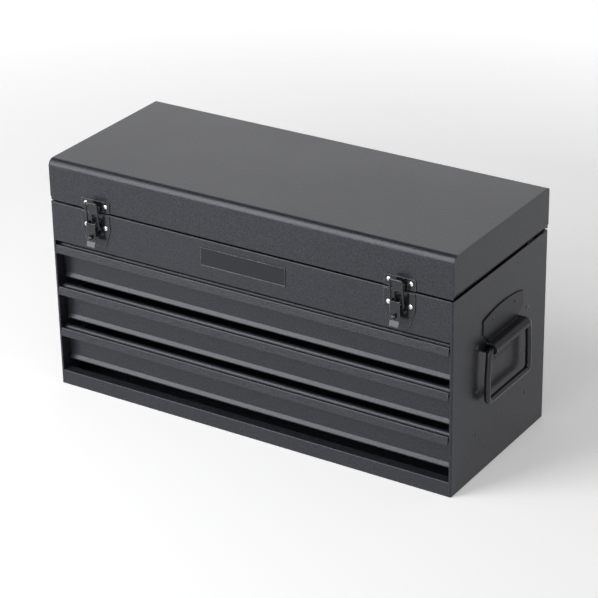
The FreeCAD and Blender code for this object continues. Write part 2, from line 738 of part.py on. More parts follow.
def lid_end():
    """Flat end of the lid, with a band along its lower edge that turns inwards."""
    body = new_body("lid_end")
    profile = new_sketch(body, "XZ", f"-{LID_FRONT}")
    outline(profile, [
        (f"{LID_HALF} - band_in - steel", LID_FOOT),
        (f"{LID_HALF} - band_in", LID_FOOT),
        (LID_HALF, f"{LID_FOOT} + band_height"),
        (LID_HALF, LID_TOP),
        (f"{LID_HALF} - steel", LID_TOP),
        (f"{LID_HALF} - steel", f"{LID_FOOT} + band_height"),
    ])
    pad(body, profile, "chest_depth - lid_setback", reverse=True)
    round_edges(body, "lid_front_round", 0, [(LID_FRONT, LID_TOP)])
    round_edges(body, "lid_back_round", 0, [(BACK, LID_TOP)])
    notches = new_sketch(body, "XY", LID_FOOT)
    inner, outer = f"{WALL} - steel - band_in", f"{LID_HALF} - steel"
    box_outline(notches, inner, f"{LID_FRONT} - overrun", outer, f"{LID_FRONT} + steel")
    box_outline(notches, inner, f"{BACK} - steel", outer, f"{BACK} + overrun")
    pocket(body, notches)
    keep_pair(body, "lid_end")


def hinge_leaf(label, first, knuckles, side):
    """Leaf of the piano hinge: a plate, and knuckles on every second place along the pin."""
    body = new_body(label)
    face = "(-back_gap - knuckle_radius)"
    root = f"{side}(knuckle_radius + knuckle_gap)"
    count = CABINET_KNUCKLES + LID_KNUCKLES
    plate = new_sketch(body, "YZ")
    box_outline(plate, face, root, f"{face} + leaf_steel", f"{side}leaf_height")
    pad(body, plate, f"{count}*knuckle_pitch", both_ways=True)
    start = f"({first} - {count}/2)*knuckle_pitch + knuckle_gap/2"
    web = new_sketch(body, "YZ", start)
    box_outline(web, face, "0", f"{face} + leaf_steel", root)
    web_pad = pad(body, web, "knuckle_pitch - knuckle_gap")
    barrel = new_sketch(body, "YZ", start)
    ring(barrel, "0", "0", "knuckle_radius")
    barrel_pad = pad(body, barrel, "knuckle_pitch - knuckle_gap")
    doc.recompute()
    row = body.newObject("PartDesign::LinearPattern", body.Name + "_row")
    row.Originals = [web_pad, barrel_pad]
    axis = next(item for item in body.Origin.OriginFeatures if item.Role == "X_Axis")
    row.Direction = (axis, [""])
    bind(row, "Length", f"{2*(knuckles - 1)}*knuckle_pitch")
    row.Occurrences = knuckles
    body.Tip = row
    bore = new_sketch(body, "YZ")
    ring(bore, "0", "0", "hinge_pin_radius + pin_play")
    pocket(body, bore)
    place(body, along=HINGE_Y, up=HINGE_Z)
    keep(body)


def hinge_pin():
    body = new_body("hinge_pin")
    section = new_sketch(body, "YZ")
    ring(section, "0", "0", "hinge_pin_radius")
    pad(body, section, f"{CABINET_KNUCKLES + LID_KNUCKLES}*knuckle_pitch", both_ways=True)
    place(body, along=HINGE_Y, up=HINGE_Z)
    keep(body)


# Lid stays


def stay_pivot(body, inner_face):
    place(
        body,
        inner_face,
        f"{HINGE_Y} - stay_circle*cos(stay_high_angle)",
        f"{HINGE_Z} + stay_circle*sin(stay_high_angle)",
    )


def lid_stay():
    """Slotted arm that hangs from the lid and slides on the cabinet's guide pin."""
    body = new_body("lid_stay")
    near = "(2*stay_circle*sin((stay_high_angle + stay_low_angle)/2) - slot_slack)"
    far = "(2*stay_circle*sin((stay_high_angle + stay_low_angle + lid_open_angle)/2) + slot_slack)"
    arm = new_sketch(body, "YZ")
    outline(arm, [
        ("stay_half_width", f"-{far}"),
        ("stay_half_width", "0", "0", "0"),
        ("-stay_half_width", "0"),
        ("-stay_half_width", f"-{far}", "0", f"-{far}"),
    ])
    pad(body, arm, "stay_steel")
    slot = new_sketch(body, "YZ")
    half = "(stay_pin_radius + slot_play)"
    outline(slot, [
        (half, f"-{far}"),
        (half, f"-{near}", "0", f"-{near}"),
        (f"-{half}", f"-{near}"),
        (f"-{half}", f"-{far}", "0", f"-{far}"),
    ])
    pocket(body, slot)
    bore = new_sketch(body, "YZ")
    ring(bore, "0", "0", "stay_rivet_radius + pin_play")
    pocket(body, bore)
    turn = "(stay_high_angle - stay_low_angle)/2"
    body.Placement = FreeCAD.Placement(FreeCAD.Vector(), FreeCAD.Rotation(-X_AXIS, value(turn)))
    bind(body, "Placement.Rotation.Angle", turn)
    stay_pivot(body, f"{STAY_FACE} - stay_steel")
    keep_pair(body, "lid_stay")


def headed_pin(label, radius, steps):
    """Turned pin along X: each step is a start, an end and a radius, towards the middle."""
    body = new_body(label)
    for start, end, size in steps:
        section = new_sketch(body, "YZ", start)
        ring(section, "0", "0", size or radius)
        pad(body, section, f"({start}) - ({end})", reverse=True)
    return body


def stay_pins():
    """Headed guide pins on the cabinet's walls, and the pivot rivets in the lid's ends."""
    inner = f"({STAY_FACE} - stay_steel - head_play)"
    guide = headed_pin("stay_guide_pins", "stay_pin_radius", [
        (f"({WALL} - steel)", inner, None),
        (inner, f"{inner} - head_steel", "head_radius"),
    ])
    place(
        guide,
        "0",
        f"{HINGE_Y} - stay_circle*cos(stay_low_angle)",
        f"{HINGE_Z} - stay_circle*sin(stay_low_angle)",
    )
    keep_together(guide, "stay_guide_pins")
    collar = f"({STAY_FACE} + head_play)"
    rivet = headed_pin("stay_pivot_rivets", "stay_rivet_radius", [
        (f"({LID_HALF} - steel)", collar, "head_radius"),
        (collar, inner, None),
        (inner, f"{inner} - head_steel", "head_radius"),
    ])
    stay_pivot(rivet, "0")
    keep_together(rivet, "stay_pivot_rivets")


# Draw latches, drawn from the lever's pivot height and the cabinet's front


def place_latch(body):
    place(body, LATCH_X, FRONT, LATCH_Z)


def latch_base():
    """Tapered plate on the cabinet with two ears for the lever's pin."""
    body = new_body("latch_base")
    plate = new_sketch(body, "XZ")
    outline(plate, mirrored([
        ("plate_foot_half", "-base_low"),
        ("plate_half_width", "-base_waist"),
        ("plate_half_width", "base_top"),
    ]))
    pad(body, plate, "latch_steel")
    round_edges(body, "plate_round", 1, [
        (f"{side}{half}", up) for side in ("", "-")
        for half, up in (("plate_foot_half", "-base_low"), ("plate_half_width", "base_top"))
    ])
    for start in ("ear_start", "-ear_start - ear_steel"):
        ear = new_sketch(body, "YZ", start)
        outline(ear, [
            ("-latch_steel/2", "-ear_radius"),
            ("-latch_steel/2", "0"),
            ("-pivot_out", "ear_radius", "-pivot_out", "0"),
            ("-pivot_out", "-ear_radius"),
        ])
        pad(body, ear, "ear_steel")
    bore = new_sketch(body, "YZ")
    ring(bore, "-pivot_out", "0", "latch_pin_radius + pin_play")
    pocket(body, bore)
    place_latch(body)
    keep_pair(body, "latch_base")


def latch_staple():
    """Padlock staple that stands through the lever's slot."""
    body = new_body("latch_staple")
    side = new_sketch(body, "YZ")
    low, high = "-staple_drop - staple_radius", "staple_radius - staple_drop"
    outline(side, [
        ("-latch_steel", low),
        ("-latch_steel", high),
        ("-staple_reach", high, "-staple_reach", "-staple_drop"),
        ("-staple_reach", low),
    ])
    pad(body, side, "2*staple_half", both_ways=True)
    eye = new_sketch(body, "YZ")
    ring(eye, "-staple_reach", "-staple_drop", "staple_hole")
    pocket(body, eye)
    place_latch(body)
    keep_pair(body, "latch_staple")


def latch_pin():
    body = new_body("latch_pin")
    section = new_sketch(body, "YZ")
    ring(section, "-pivot_out", "0", "latch_pin_radius")
    pad(body, section, f"2*{LEVER_HALF}", both_ways=True)
    place_latch(body)
    keep_pair(body, "latch_pin")


def latch_lever():
    """Channel-shaped lever: face with a staple slot, turned finger tip and two rounded flanges."""
    body = new_body("latch_lever")
    inner = "(pivot_out + lever_reach)"
    outer = "(pivot_out + lever_reach + lever_steel)"
    face = new_sketch(body, "YZ")
    outline(face, [
        (f"-{outer}", "lever_top"),
        (f"-{outer}", "-lever_knee"),
        (f"-{outer} - tip_out", "-lever_low"),
        (f"-{inner} - tip_out", "-lever_low"),
        (f"-{inner}", "-lever_knee"),
        (f"-{inner}", "lever_top"),
    ])
    pad(body, face, f"2*{LEVER_HALF}", both_ways=True)
    sides = new_sketch(body, "XZ")
    taper = [
        ("tip_half_width", "-lever_low - overrun"),
        (f"{LEVER_HALF} + overrun", "-lever_low - overrun"),
        (f"{LEVER_HALF} + overrun", "-lever_waist"),
        (LEVER_HALF, "-lever_waist"),
    ]
    outline(sides, taper)
    outline(sides, [(f"-({across})", up) for across, up in taper])
    pocket(body, sides)
    slot = new_sketch(body, "XZ")
    box_outline(slot, "-slot_half_width", "-slot_low", "slot_half_width", "-slot_top")
    pocket(body, slot)
    round_top = "sqrt(lever_round^2 - lever_reach^2)"
    edge = "(pivot_out - loop_inward - eye_edge)"
    for start in (FLANGE_START, f"-{LEVER_HALF}"):
        flange = new_sketch(body, "YZ", start)
        outline(flange, [
            (f"-{inner} - lever_steel/2", "-lever_waist"),
            ("-pivot_out", "-lever_waist"),
            (f"-{edge}", "-loop_drop - eye_edge"),
            ("lever_round - pivot_out", "0", "-pivot_out", "0"),
            (f"-{inner}", round_top),
            (f"-{inner} - lever_steel/2", round_top),
        ])
        pad(body, flange, "lever_steel")
    bores = new_sketch(body, "YZ")
    ring(bores, "-pivot_out", "0", "latch_pin_radius + pin_play")
    ring(bores, "loop_inward - pivot_out", "-loop_drop", "loop_wire + 2*pin_play")
    pocket(body, bores)
    place_latch(body)
    keep_pair(body, "latch_lever")


def latch_loop():
    """Wire loop whose feet turn inwards into the lever's flanges."""
    body = new_body("latch_loop")
    out = f"({HOOK_FACE} + loop_play + loop_wire - pivot_out + loop_inward)"
    rise = "(loop_rise + loop_drop)"
    length = f"sqrt({out}^2 + {rise}^2)"
    foot = f"({FLANGE_START} + 2*pin_play)"
    section = new_sketch(body, "YZ", foot)
    ring(section, "0", "0", "loop_wire")
    path = new_sketch(body, "XZ")
    bent_path(path, [
        (foot, "0"),
        (LOOP_HALF, "0"),
        (LOOP_HALF, length),
        (f"-{LOOP_HALF}", length),
        (f"-{LOOP_HALF}", "0"),
        (f"-{foot}", "0"),
    ], "loop_bend")
    pipe(body, section, path)
    place(
        body,
        LATCH_X,
        f"{FRONT} - pivot_out + loop_inward",
        f"{LATCH_Z} - loop_drop",
        X_AXIS,
        f"atan({out}/{rise})",
    )
    keep_pair(body, "latch_loop")


def latch_hook():
    """Strike plate on the lid with the bent hook that the loop pulls on."""
    body = new_body("latch_hook")
    plate = new_sketch(body, "XZ", "-lid_setback")
    box_outline(plate, "-plate_half_width", "latch_drop + lid_gap", "plate_half_width", "strike_top")
    pad(body, plate, "latch_steel")
    round_edges(body, "plate_round", 1, [(f"{side}plate_half_width", "strike_top") for side in ("", "-")])
    hook = new_sketch(body, "YZ")
    root = "lid_setback - latch_steel/2"
    near = "(latch_steel - lid_setback + hook_gap)"
    knee = "(hook_low + hook_slope)"
    outline(hook, [
        (root, "hook_root"),
        (f"-{near} - hook_steel", "hook_root"),
        (f"-{near} - hook_steel", knee),
        (f"-{near} - hook_steel - hook_slope/2", "hook_low + hook_steel"),
        (f"-{HOOK_FACE} + hook_steel + hook_slope/2", "hook_low + hook_steel"),
        (f"-{HOOK_FACE} + hook_steel", knee),
        (f"-{HOOK_FACE} + hook_steel", "hook_top"),
        (f"-{HOOK_FACE}", "hook_top"),
        (f"-{HOOK_FACE}", knee),
        (f"-{HOOK_FACE} + hook_slope/2 + hook_slope/4", "hook_low"),
        (f"-{near} - hook_slope/2 - hook_slope/4", "hook_low"),
        (f"-{near}", knee),
        (f"-{near}", "latch_drop + lid_gap"),
        (root, "latch_drop + lid_gap"),
    ])
    pad(body, hook, "2*hook_half_width", both_ways=True)
    place_latch(body)
    keep_pair(body, "latch_hook")


# Drop handles, drawn from the middle of the barrel and the chest's side


def place_handle(body):
    place(body, "chest_width/2", "handle_back", "chest_height - handle_drop")


def handle_bracket():
    """Pressed bracket: arched plate, lower tongue and the barrel that holds the rod."""
    body = new_body("handle_bracket")
    plate = new_sketch(body, "YZ")
    arch = "bracket_top + bracket_rise - (bracket_half^2 + bracket_rise^2)/(2*bracket_rise)"
    outline(plate, [
        ("tongue_half - tongue_cut", "-tongue_low"),
        ("tongue_half", "tongue_chamfer - tongue_low"),
        ("tongue_half", "bracket_waist"),
        ("bracket_half", "bracket_side"),
        ("bracket_half", "bracket_top", "0", arch),
        ("-bracket_half", "bracket_top"),
        ("-bracket_half", "bracket_side"),
        ("-tongue_half", "bracket_waist"),
        ("-tongue_half", "tongue_chamfer - tongue_low"),
        ("tongue_cut - tongue_half", "-tongue_low"),
    ])
    pad(body, plate, "bracket_steel")
    barrel = new_sketch(body, "XZ")
    outline(barrel, [
        ("0", f"-{BARREL_RADIUS}"),
        ("bail_out", f"-{BARREL_RADIUS}", "bail_out", "0"),
        ("bail_out", BARREL_RADIUS),
        ("0", BARREL_RADIUS),
    ])
    pad(body, barrel, "2*barrel_half", both_ways=True)
    channel = new_sketch(body, "XZ")
    outline(channel, [
        ("-overrun", f"-{BORE_RADIUS}"),
        ("bail_out", f"-{BORE_RADIUS}", "bail_out", "0"),
        ("bail_out", BORE_RADIUS),
        ("-overrun", BORE_RADIUS),
    ])
    pocket(body, channel, "2*barrel_half", both_ways=True)
    place_handle(body)
    keep_pair(body, "handle_bracket")


def handle_bail():
    """Bent rod handle: feet in the barrel, flared shoulders, straight legs and grip."""
    body = new_body("handle_bail")
    section = new_sketch(body, "XZ", "-bail_foot")
    ring(section, "bail_out", "0", "bail_radius")
    path = new_sketch(body, "YZ", "bail_out")
    half = [
        ("bail_foot", "0"),
        ("bail_shoulder", "0"),
        ("bail_half", "-bail_flare"),
        ("bail_half", "-bail_drop"),
    ]
    bent_path(path, mirrored(half), "bail_bend")
    pipe(body, section, path)
    place_handle(body)
    keep_pair(body, "handle_bail")


def build():
    fill_sheet()
    cabinet_wrap()
    bottom_pan()
    front_panel()
    compartment_floor()
    for number in range(1, DRAWERS + 1):
        drawer_front(number)
        drawer_box(number)
        slide_outer(number)
        slide_inner(number)
        ball_cages(number)
    lid_shell()
    lid_end()
    hinge_leaf("hinge_leaf_cabinet", 0, CABINET_KNUCKLES, "-")
    hinge_leaf("hinge_leaf_lid", 1, LID_KNUCKLES, "")
    hinge_pin()
    lid_stay()
    stay_pins()
    latch_base()
    latch_staple()
    latch_pin()
    latch_lever()
    latch_loop()
    latch_hook()
    handle_bracket()
    handle_bail()
    doc.recompute()


def check():
    """Stops before anything is written if a feature failed or a piece is unsound."""
    for item in doc.Objects:
        if "Invalid" in item.State or "Error" in item.State:
            raise ValueError(f"{item.Label} failed")
    for piece in parts:
        if piece.Shape.isNull() or not piece.Shape.isValid():
            raise ValueError(f"{piece.Label} is not a sound shape")


def write():
    os.makedirs("parts", exist_ok=True)
    for piece in parts:
        piece.Shape.exportStep(f"parts/{piece.Label}.step")


build()
check()
write()
print(len(parts), "parts written")
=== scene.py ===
import json
import math

import bmesh
import bpy
from mathutils import Matrix, Vector


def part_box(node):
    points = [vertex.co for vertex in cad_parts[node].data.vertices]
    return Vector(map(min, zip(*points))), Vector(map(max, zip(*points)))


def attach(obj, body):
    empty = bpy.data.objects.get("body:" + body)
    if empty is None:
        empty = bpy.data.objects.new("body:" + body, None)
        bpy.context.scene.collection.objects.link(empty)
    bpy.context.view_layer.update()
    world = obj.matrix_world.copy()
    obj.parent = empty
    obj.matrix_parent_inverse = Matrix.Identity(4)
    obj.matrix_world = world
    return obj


bl_info = {
    "name": "Machinist Tool Chest",
    "version": (1, 0, 0),
    "blender": (4, 5, 0),
    "location": "3D View > Sidebar > Tool Chest",
    "description": "Finishes and small fittings of a steel tool chest with drawers and a lid",
    "category": "Object",
}

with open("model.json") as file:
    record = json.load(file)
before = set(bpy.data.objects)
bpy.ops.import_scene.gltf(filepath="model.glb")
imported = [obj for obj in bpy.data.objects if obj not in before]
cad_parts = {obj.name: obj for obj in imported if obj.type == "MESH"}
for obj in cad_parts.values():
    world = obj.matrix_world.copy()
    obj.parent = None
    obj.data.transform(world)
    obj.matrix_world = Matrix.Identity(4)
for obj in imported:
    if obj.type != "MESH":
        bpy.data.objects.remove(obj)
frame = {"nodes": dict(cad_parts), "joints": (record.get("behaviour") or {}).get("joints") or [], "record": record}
NODES = frame["nodes"]
JOINTS = {joint["name"]: joint for joint in frame["joints"]}
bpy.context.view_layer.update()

SIDES = {"left": -1, "right": 1}
BOTH_WAYS = (-1, 1)
DRAWERS = (1, 2, 3)
X_WAY, Y_WAY, Z_WAY = Vector((1, 0, 0)), Vector((0, 1, 0)), Vector((0, 0, 1))
CABINET_LOW, CABINET_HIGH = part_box("cabinet_wrap")


# Sizes and colours that a user would change

SHORTEST, LONGEST = 0.0001, 0.2


def colour_of(title, about, default):
    return bpy.props.FloatVectorProperty(
        name=title, description=about, subtype="COLOR", size=3, min=0, max=1, default=default)


def share_of(title, about, default):
    return bpy.props.FloatProperty(
        name=title, description=about, subtype="FACTOR", min=0, max=1, default=default)


def length_of(title, about, default):
    return bpy.props.FloatProperty(
        name=title, description=about, subtype="DISTANCE", unit="LENGTH",
        min=SHORTEST, max=LONGEST, default=default)


def power_of(title, about, default):
    return bpy.props.FloatProperty(
        name=title, description=about, subtype="POWER", unit="POWER", min=0, default=default)


class ChestFinishes(bpy.types.PropertyGroup):
    """Colours and textures of the chest's finishes."""

    paint: colour_of(
        "Paint", "Colour of the textured paint on the sheet steel", (0.0125, 0.0130, 0.0165))
    paint_roughness: share_of(
        "Paint Roughness", "Sheen of the textured paint, from gloss to flat", 0.30)
    grain: length_of("Paint Grain", "Size of the grains in the textured paint", 0.0016)
    lacquer: colour_of(
        "Lacquer", "Colour of the lacquer on the latches and handles", (0.0105, 0.0110, 0.0130))
    zinc: colour_of("Zinc", "Colour of the plated slides, stays and pins", (0.60, 0.61, 0.63))
    bright: colour_of("Bright Steel", "Colour of the rivets and balls", (0.78, 0.79, 0.81))
    # sets how much lighter the painted folds are: part wear, part painted highlight
    edge_wear_and_highlight: share_of("Edge Wear And Highlight", "How strongly the painted edges are rubbed", 0.25)


class ChestFittings(bpy.types.PropertyGroup):
    """Sizes of the small fittings."""

    latch_rivet_radius: length_of(
        "Latch Rivet Radius", "Radius of the rivet heads on the latch plates", 0.0027)
    latch_rivet_rise: length_of(
        "Latch Rivet Rise", "Height of the rivet heads on the latch plates", 0.0013)
    latch_rivet_spread: length_of(
        "Latch Rivet Spread", "From the latch's middle to a rivet", 0.0130)
    side_rivet_radius: length_of(
        "Side Rivet Radius", "Radius of the rivet heads on the chest's ends", 0.0029)
    side_rivet_rise: length_of(
        "Side Rivet Rise", "Height of the rivet heads on the chest's ends", 0.0012)
    screw_radius: length_of(
        "Handle Screw Radius", "Radius of the screw heads on the handle brackets", 0.0027)
    screw_rise: length_of(
        "Handle Screw Rise", "Height of the screw heads on the handle brackets", 0.0013)
    hinge_rivet_radius: length_of(
        "Hinge Rivet Radius", "Radius of the rivet heads on the hinge leaves", 0.0024)
    hinge_rivet_rise: length_of(
        "Hinge Rivet Rise", "Height of the rivet heads on the hinge leaves", 0.0011)
    badge_width: length_of("Badge Width", "Width of the bare badge plate", 0.1075)
    badge_height: length_of("Badge Height", "Height of the bare badge plate", 0.0215)
    badge_steel: length_of("Badge Thickness", "Thickness of the bare badge plate", 0.0009)
    badge_rim: length_of("Badge Rim", "Width of the plain rim round the badge plate", 0.0007)
    ball_radius: length_of("Ball Radius", "Radius of the balls in the slides", 0.00235)


class ChestStudio(bpy.types.PropertyGroup):
    """Light and camera of the studio."""

    front_power: power_of("Front Light", "Power of the tall soft light at the front left", 48)
    back_power: power_of(
        "Back Light", "Power of the low soft light behind the chest at the left", 1.5)
    strip_power: power_of("Strip Light", "Power of the narrow light straight in front", 7)
    ambient: bpy.props.FloatProperty(
        name="Surround", description="Level of the light from all round",
        subtype="FACTOR", min=0, max=2, default=0.45)
    lens: bpy.props.FloatProperty(
        name="Lens", description="Focal length of the camera",
        subtype="DISTANCE_CAMERA", unit="CAMERA", min=10, max=500, default=145.228)


# Making shader nodes

RISING, FALLING = (0.0, 1.0), (1.0, 0.0)
WHITE = (1.0, 1.0, 1.0, 1.0)


def new_group(name, inputs, outputs):
    group = bpy.data.node_groups.new(name, "ShaderNodeTree")
    for title, kind, default in inputs:
        socket = group.interface.new_socket(title, in_out="INPUT", socket_type=kind)
        socket.default_value = default
    for title, kind in outputs:
        group.interface.new_socket(title, in_out="OUTPUT", socket_type=kind)
    start = group.nodes.new("NodeGroupInput")
    end = group.nodes.new("NodeGroupOutput")
    return group, start, end


def add(tree, kind, settings=None, **inputs):
    """Adds a shader node; inputs are sockets to link, or values to set, by name or number."""
    node = tree.nodes.new(kind)
    for key, setting in (settings or {}).items():
        setattr(node, key, setting)
    for key, given in inputs.items():
        by_number = key[1:].isdigit()
        socket = node.inputs[int(key[1:])] if by_number else node.inputs[key.replace("_", " ")]
        if isinstance(given, bpy.types.NodeSocket):
            tree.links.new(given, socket)
        else:
            socket.default_value = given
    return node


def ramp(tree, source, reach, onto=RISING):
    """A value carried from its own range over to another one, and held at that range's ends."""
    return add(tree, "ShaderNodeMapRange",
               i0=source, i1=reach[0], i2=reach[1], i3=onto[0], i4=onto[1]).outputs[0]


def maths(tree, operation, first, second):
    return add(tree, "ShaderNodeMath", {"operation": operation}, i0=first, i1=second).outputs[0]


def times(tree, first, second):
    return maths(tree, "MULTIPLY", first, second)


def mixed(tree, share, first, second):
    return add(tree, "ShaderNodeMix", {"data_type": "RGBA"},
               i0=share, i6=first, i7=second).outputs[2]


def object_place(tree):
    return add(tree, "ShaderNodeTexCoord").outputs["Object"]


def put_out(group, end, outputs):
    for name, socket in outputs.items():
        group.links.new(socket, end.inputs[name])
    return group


# Shared shader groups

EDGE_SAMPLES = 4
EDGE_TURN = (0.995, 0.85)       # cosine of true and rounded normal, where edge lightening starts and is full
EDGE_PATCHES = (0.35, 0.7)      # range of the noise that breaks the edge lightening up
PATCH_EDGE_SHARE = (0.15, 1.0)        # edge lightening where that noise is low and where it is high
DRIFT_SCALE = 9.0
LINE_SCALE, STAIN_SCALE = 900.0, 55.0


def edge_group():
    """Mask of the outer edges, broken up by noise, for wear and painted edge highlights; and a softened normal."""
    group, start, end = new_group(
        "Rubbed Edges",
        [("Width", "NodeSocketFloat", 0.001), ("Patchiness", "NodeSocketFloat", 60.0)],
        [("Mask", "NodeSocketFloat"), ("Soft Normal", "NodeSocketVector")])
    bevel = add(group, "ShaderNodeBevel", {"samples": EDGE_SAMPLES}, Radius=start.outputs["Width"])
    geometry = add(group, "ShaderNodeNewGeometry")
    turned = add(group, "ShaderNodeVectorMath", {"operation": "DOT_PRODUCT"},
                 i0=bevel.outputs[0], i1=geometry.outputs["Normal"])
    bent = ramp(group, turned.outputs["Value"], EDGE_TURN)
    noise = add(group, "ShaderNodeTexNoise", Vector=object_place(group),
                Scale=start.outputs["Patchiness"], Detail=3.0, Roughness=0.6)
    patches = ramp(group, noise.outputs[0], EDGE_PATCHES, PATCH_EDGE_SHARE)
    mask = times(group, bent, patches)
    return put_out(group, end, {"Mask": mask, "Soft Normal": bevel.outputs[0]})


def grain_group():
    """Fine grains of textured paint: height, speckle and slow drift of tone."""
    group, start, end = new_group(
        "Paint Grain", [("Grain", "NodeSocketFloat", 0.001)],
        [(title, "NodeSocketFloat") for title in ("Height", "Speckle", "Drift")])
    place = object_place(group)
    scale = maths(group, "DIVIDE", 1.0, start.outputs["Grain"])
    cells = add(group, "ShaderNodeTexVoronoi", {"feature": "SMOOTH_F1"}, Vector=place, Scale=scale)
    noise = add(group, "ShaderNodeTexNoise", Vector=place, Scale=scale, Detail=2.0)
    height = maths(group, "ADD", cells.outputs["Distance"], noise.outputs[0])
    drift = add(group, "ShaderNodeTexNoise", Vector=place, Scale=DRIFT_SCALE, Detail=3.0)
    return put_out(group, end, {
        "Height": height, "Speckle": noise.outputs[0], "Drift": drift.outputs[0]})


def brushing_group():
    """Fine lines along one direction, as rolled or drawn steel has, and faint stains."""
    group, start, end = new_group(
        "Rolled Lines", [("Stretch", "NodeSocketVector", (1.0, 1.0, 1.0))],
        [(title, "NodeSocketFloat") for title in ("Lines", "Stains")])
    place = object_place(group)
    drawn = add(group, "ShaderNodeVectorMath", {"operation": "MULTIPLY"},
                i0=place, i1=start.outputs["Stretch"])
    lines = add(group, "ShaderNodeTexNoise", Vector=drawn.outputs[0], Scale=LINE_SCALE, Detail=2.0)
    stains = add(group, "ShaderNodeTexNoise", Vector=place, Scale=STAIN_SCALE, Detail=4.0)
    return put_out(group, end, {"Lines": lines.outputs[0], "Stains": stains.outputs[0]})


# Materials

DRIFT_REACH = (0.2, 0.8)                # range of the slow drift that changes the sheen
COOL_TINT = (0.93, 0.95, 1.0, 1.0)      # black finishes reflect a little bluer than the light
STRIP_COLOUR = (0.46, 0.45, 0.42)
# lighter lacquer edge colour: painted highlight along the edges, with some wear
LACQUER_EDGE_HIGHLIGHT_AND_WEAR = (0.42, 0.42, 0.44, 1.0)
LACQUER_EDGE_SHARE = 0.8
ALONG_SLIDES, EVEN = (1.0, 0.04, 1.0), (1.0, 1.0, 1.0)      # stretch of the rolled lines


def new_material(name, colour):
    material = bpy.data.materials.new(name)
    material.use_nodes = True
    material.diffuse_color = (*colour, 1.0)
    return material, material.node_tree, material.node_tree.nodes["Principled BSDF"]


def grouped(tree, group, **inputs):
    node = tree.nodes.new("ShaderNodeGroup")
    node.node_tree = group
    for key, given in inputs.items():
        node.inputs[key].default_value = given
    return node


def shade(colour, factor):
    return (*(min(1.0, part * factor) for part in colour), 1.0)


def dress(tree, surface, colour, roughness, bump, **uniform):
    """Links what changes over the surface, and sets by name what is the same all over it."""
    tree.links.new(colour, surface.inputs["Base Color"])
    tree.links.new(roughness, surface.inputs["Roughness"])
    tree.links.new(bump.outputs[0], surface.inputs["Normal"])
    for key, value in uniform.items():
        surface.inputs[key.replace("_", " ")].default_value = value


def textured_paint(finishes, groups):
    """Black textured coating of the sheet steel, lighter on its folds from wear and painted highlight."""
    darker, lighter, on_grains, on_edges = 0.85, 1.15, 2.6, 5.0
    speckle_reach = (0.38, 0.66)
    sheen = (finishes.paint_roughness - 0.03, finishes.paint_roughness + 0.03)
    material, tree, surface = new_material("Textured Black Paint", finishes.paint)
    grain = grouped(tree, groups["grain"], Grain=finishes.grain)
    edges = grouped(tree, groups["edges"], Width=0.0009, Patchiness=40.0)
    tone = mixed(tree, grain.outputs["Drift"],
                 shade(finishes.paint, darker), shade(finishes.paint, lighter))
    speckle = ramp(tree, grain.outputs["Speckle"], speckle_reach)
    grains = mixed(tree, speckle, tone, shade(finishes.paint, on_grains))
    # folds made lighter: part wear, part painted highlight along the edges
    edge_share = times(tree, edges.outputs["Mask"], finishes.edge_wear_and_highlight)
    edges_lightened = mixed(tree, edge_share, grains, shade(finishes.paint, on_edges))
    roughness = ramp(tree, grain.outputs["Drift"], DRIFT_REACH, sheen)
    bump = add(tree, "ShaderNodeBump", Strength=0.5, Distance=0.0002,
               Height=grain.outputs["Height"], Normal=edges.outputs["Soft Normal"])
    dress(tree, surface, edges_lightened, roughness, bump, Specular_IOR_Level=0.41, Specular_Tint=COOL_TINT)
    return material


def black_lacquer(name, finishes, groups, sheen, coat):
    """Black lacquer of the latches, brackets and handles, lighter on the edges from wear and painted highlight."""
    material, tree, surface = new_material(name, finishes.lacquer)
    grain = grouped(tree, groups["grain"], Grain=0.004)
    edges = grouped(tree, groups["edges"], Width=0.0008, Patchiness=120.0)
    # edges made lighter: painted highlight, with some wear
    edge_share = times(tree, edges.outputs["Mask"], LACQUER_EDGE_SHARE)
    edges_lightened = mixed(tree, edge_share, shade(finishes.lacquer, 1.0), LACQUER_EDGE_HIGHLIGHT_AND_WEAR)
    roughness = ramp(tree, grain.outputs["Drift"], DRIFT_REACH, sheen)
    bump = add(tree, "ShaderNodeBump", Strength=0.12, Distance=0.0003,
               Height=grain.outputs["Speckle"], Normal=edges.outputs["Soft Normal"])
    dress(tree, surface, edges_lightened, roughness, bump, Coat_Weight=coat, Coat_Roughness=0.08,
          Specular_IOR_Level=0.36, Specular_Tint=COOL_TINT)
    return material


def badge_enamel(finishes, groups):
    """Flat black face of the bare badge plate."""
    darker, lighter, sheen = 0.55, 0.85, (0.36, 0.44)
    material, tree, surface = new_material("Badge Enamel", finishes.lacquer)
    grain = grouped(tree, groups["grain"], Grain=0.0006)
    tone = mixed(tree, grain.outputs["Drift"],
                 shade(finishes.paint, darker), shade(finishes.paint, lighter))
    roughness = ramp(tree, grain.outputs["Drift"], DRIFT_REACH, sheen)
    bump = add(tree, "ShaderNodeBump", Strength=0.15, Distance=0.0001,
               Height=grain.outputs["Height"])
    dress(tree, surface, tone, roughness, bump, Specular_IOR_Level=0.36, Specular_Tint=COOL_TINT)
    return material


def plated_steel(name, colour, groups, roughness, stretch):
    """Plated or rolled steel with fine lines and faint stains."""
    darker, lighter, on_edges = 0.72, 1.1, 1.35
    line_reach, sheen = (0.3, 0.7), (roughness - 0.06, roughness + 0.08)
    material, tree, surface = new_material(name, colour)
    brushing = grouped(tree, groups["brushing"], Stretch=stretch)
    edges = grouped(tree, groups["edges"], Width=0.0004, Patchiness=150.0)
    tone = mixed(tree, brushing.outputs["Stains"], shade(colour, darker), shade(colour, lighter))
    edges_lightened = mixed(tree, edges.outputs["Mask"], tone, shade(colour, on_edges))
    lined = ramp(tree, brushing.outputs["Lines"], line_reach, sheen)
    bump = add(tree, "ShaderNodeBump", Strength=0.15, Distance=0.0001,
               Height=brushing.outputs["Lines"], Normal=edges.outputs["Soft Normal"])
    dress(tree, surface, edges_lightened, lined, bump, Metallic=1.0)
    return material


# Making pieces

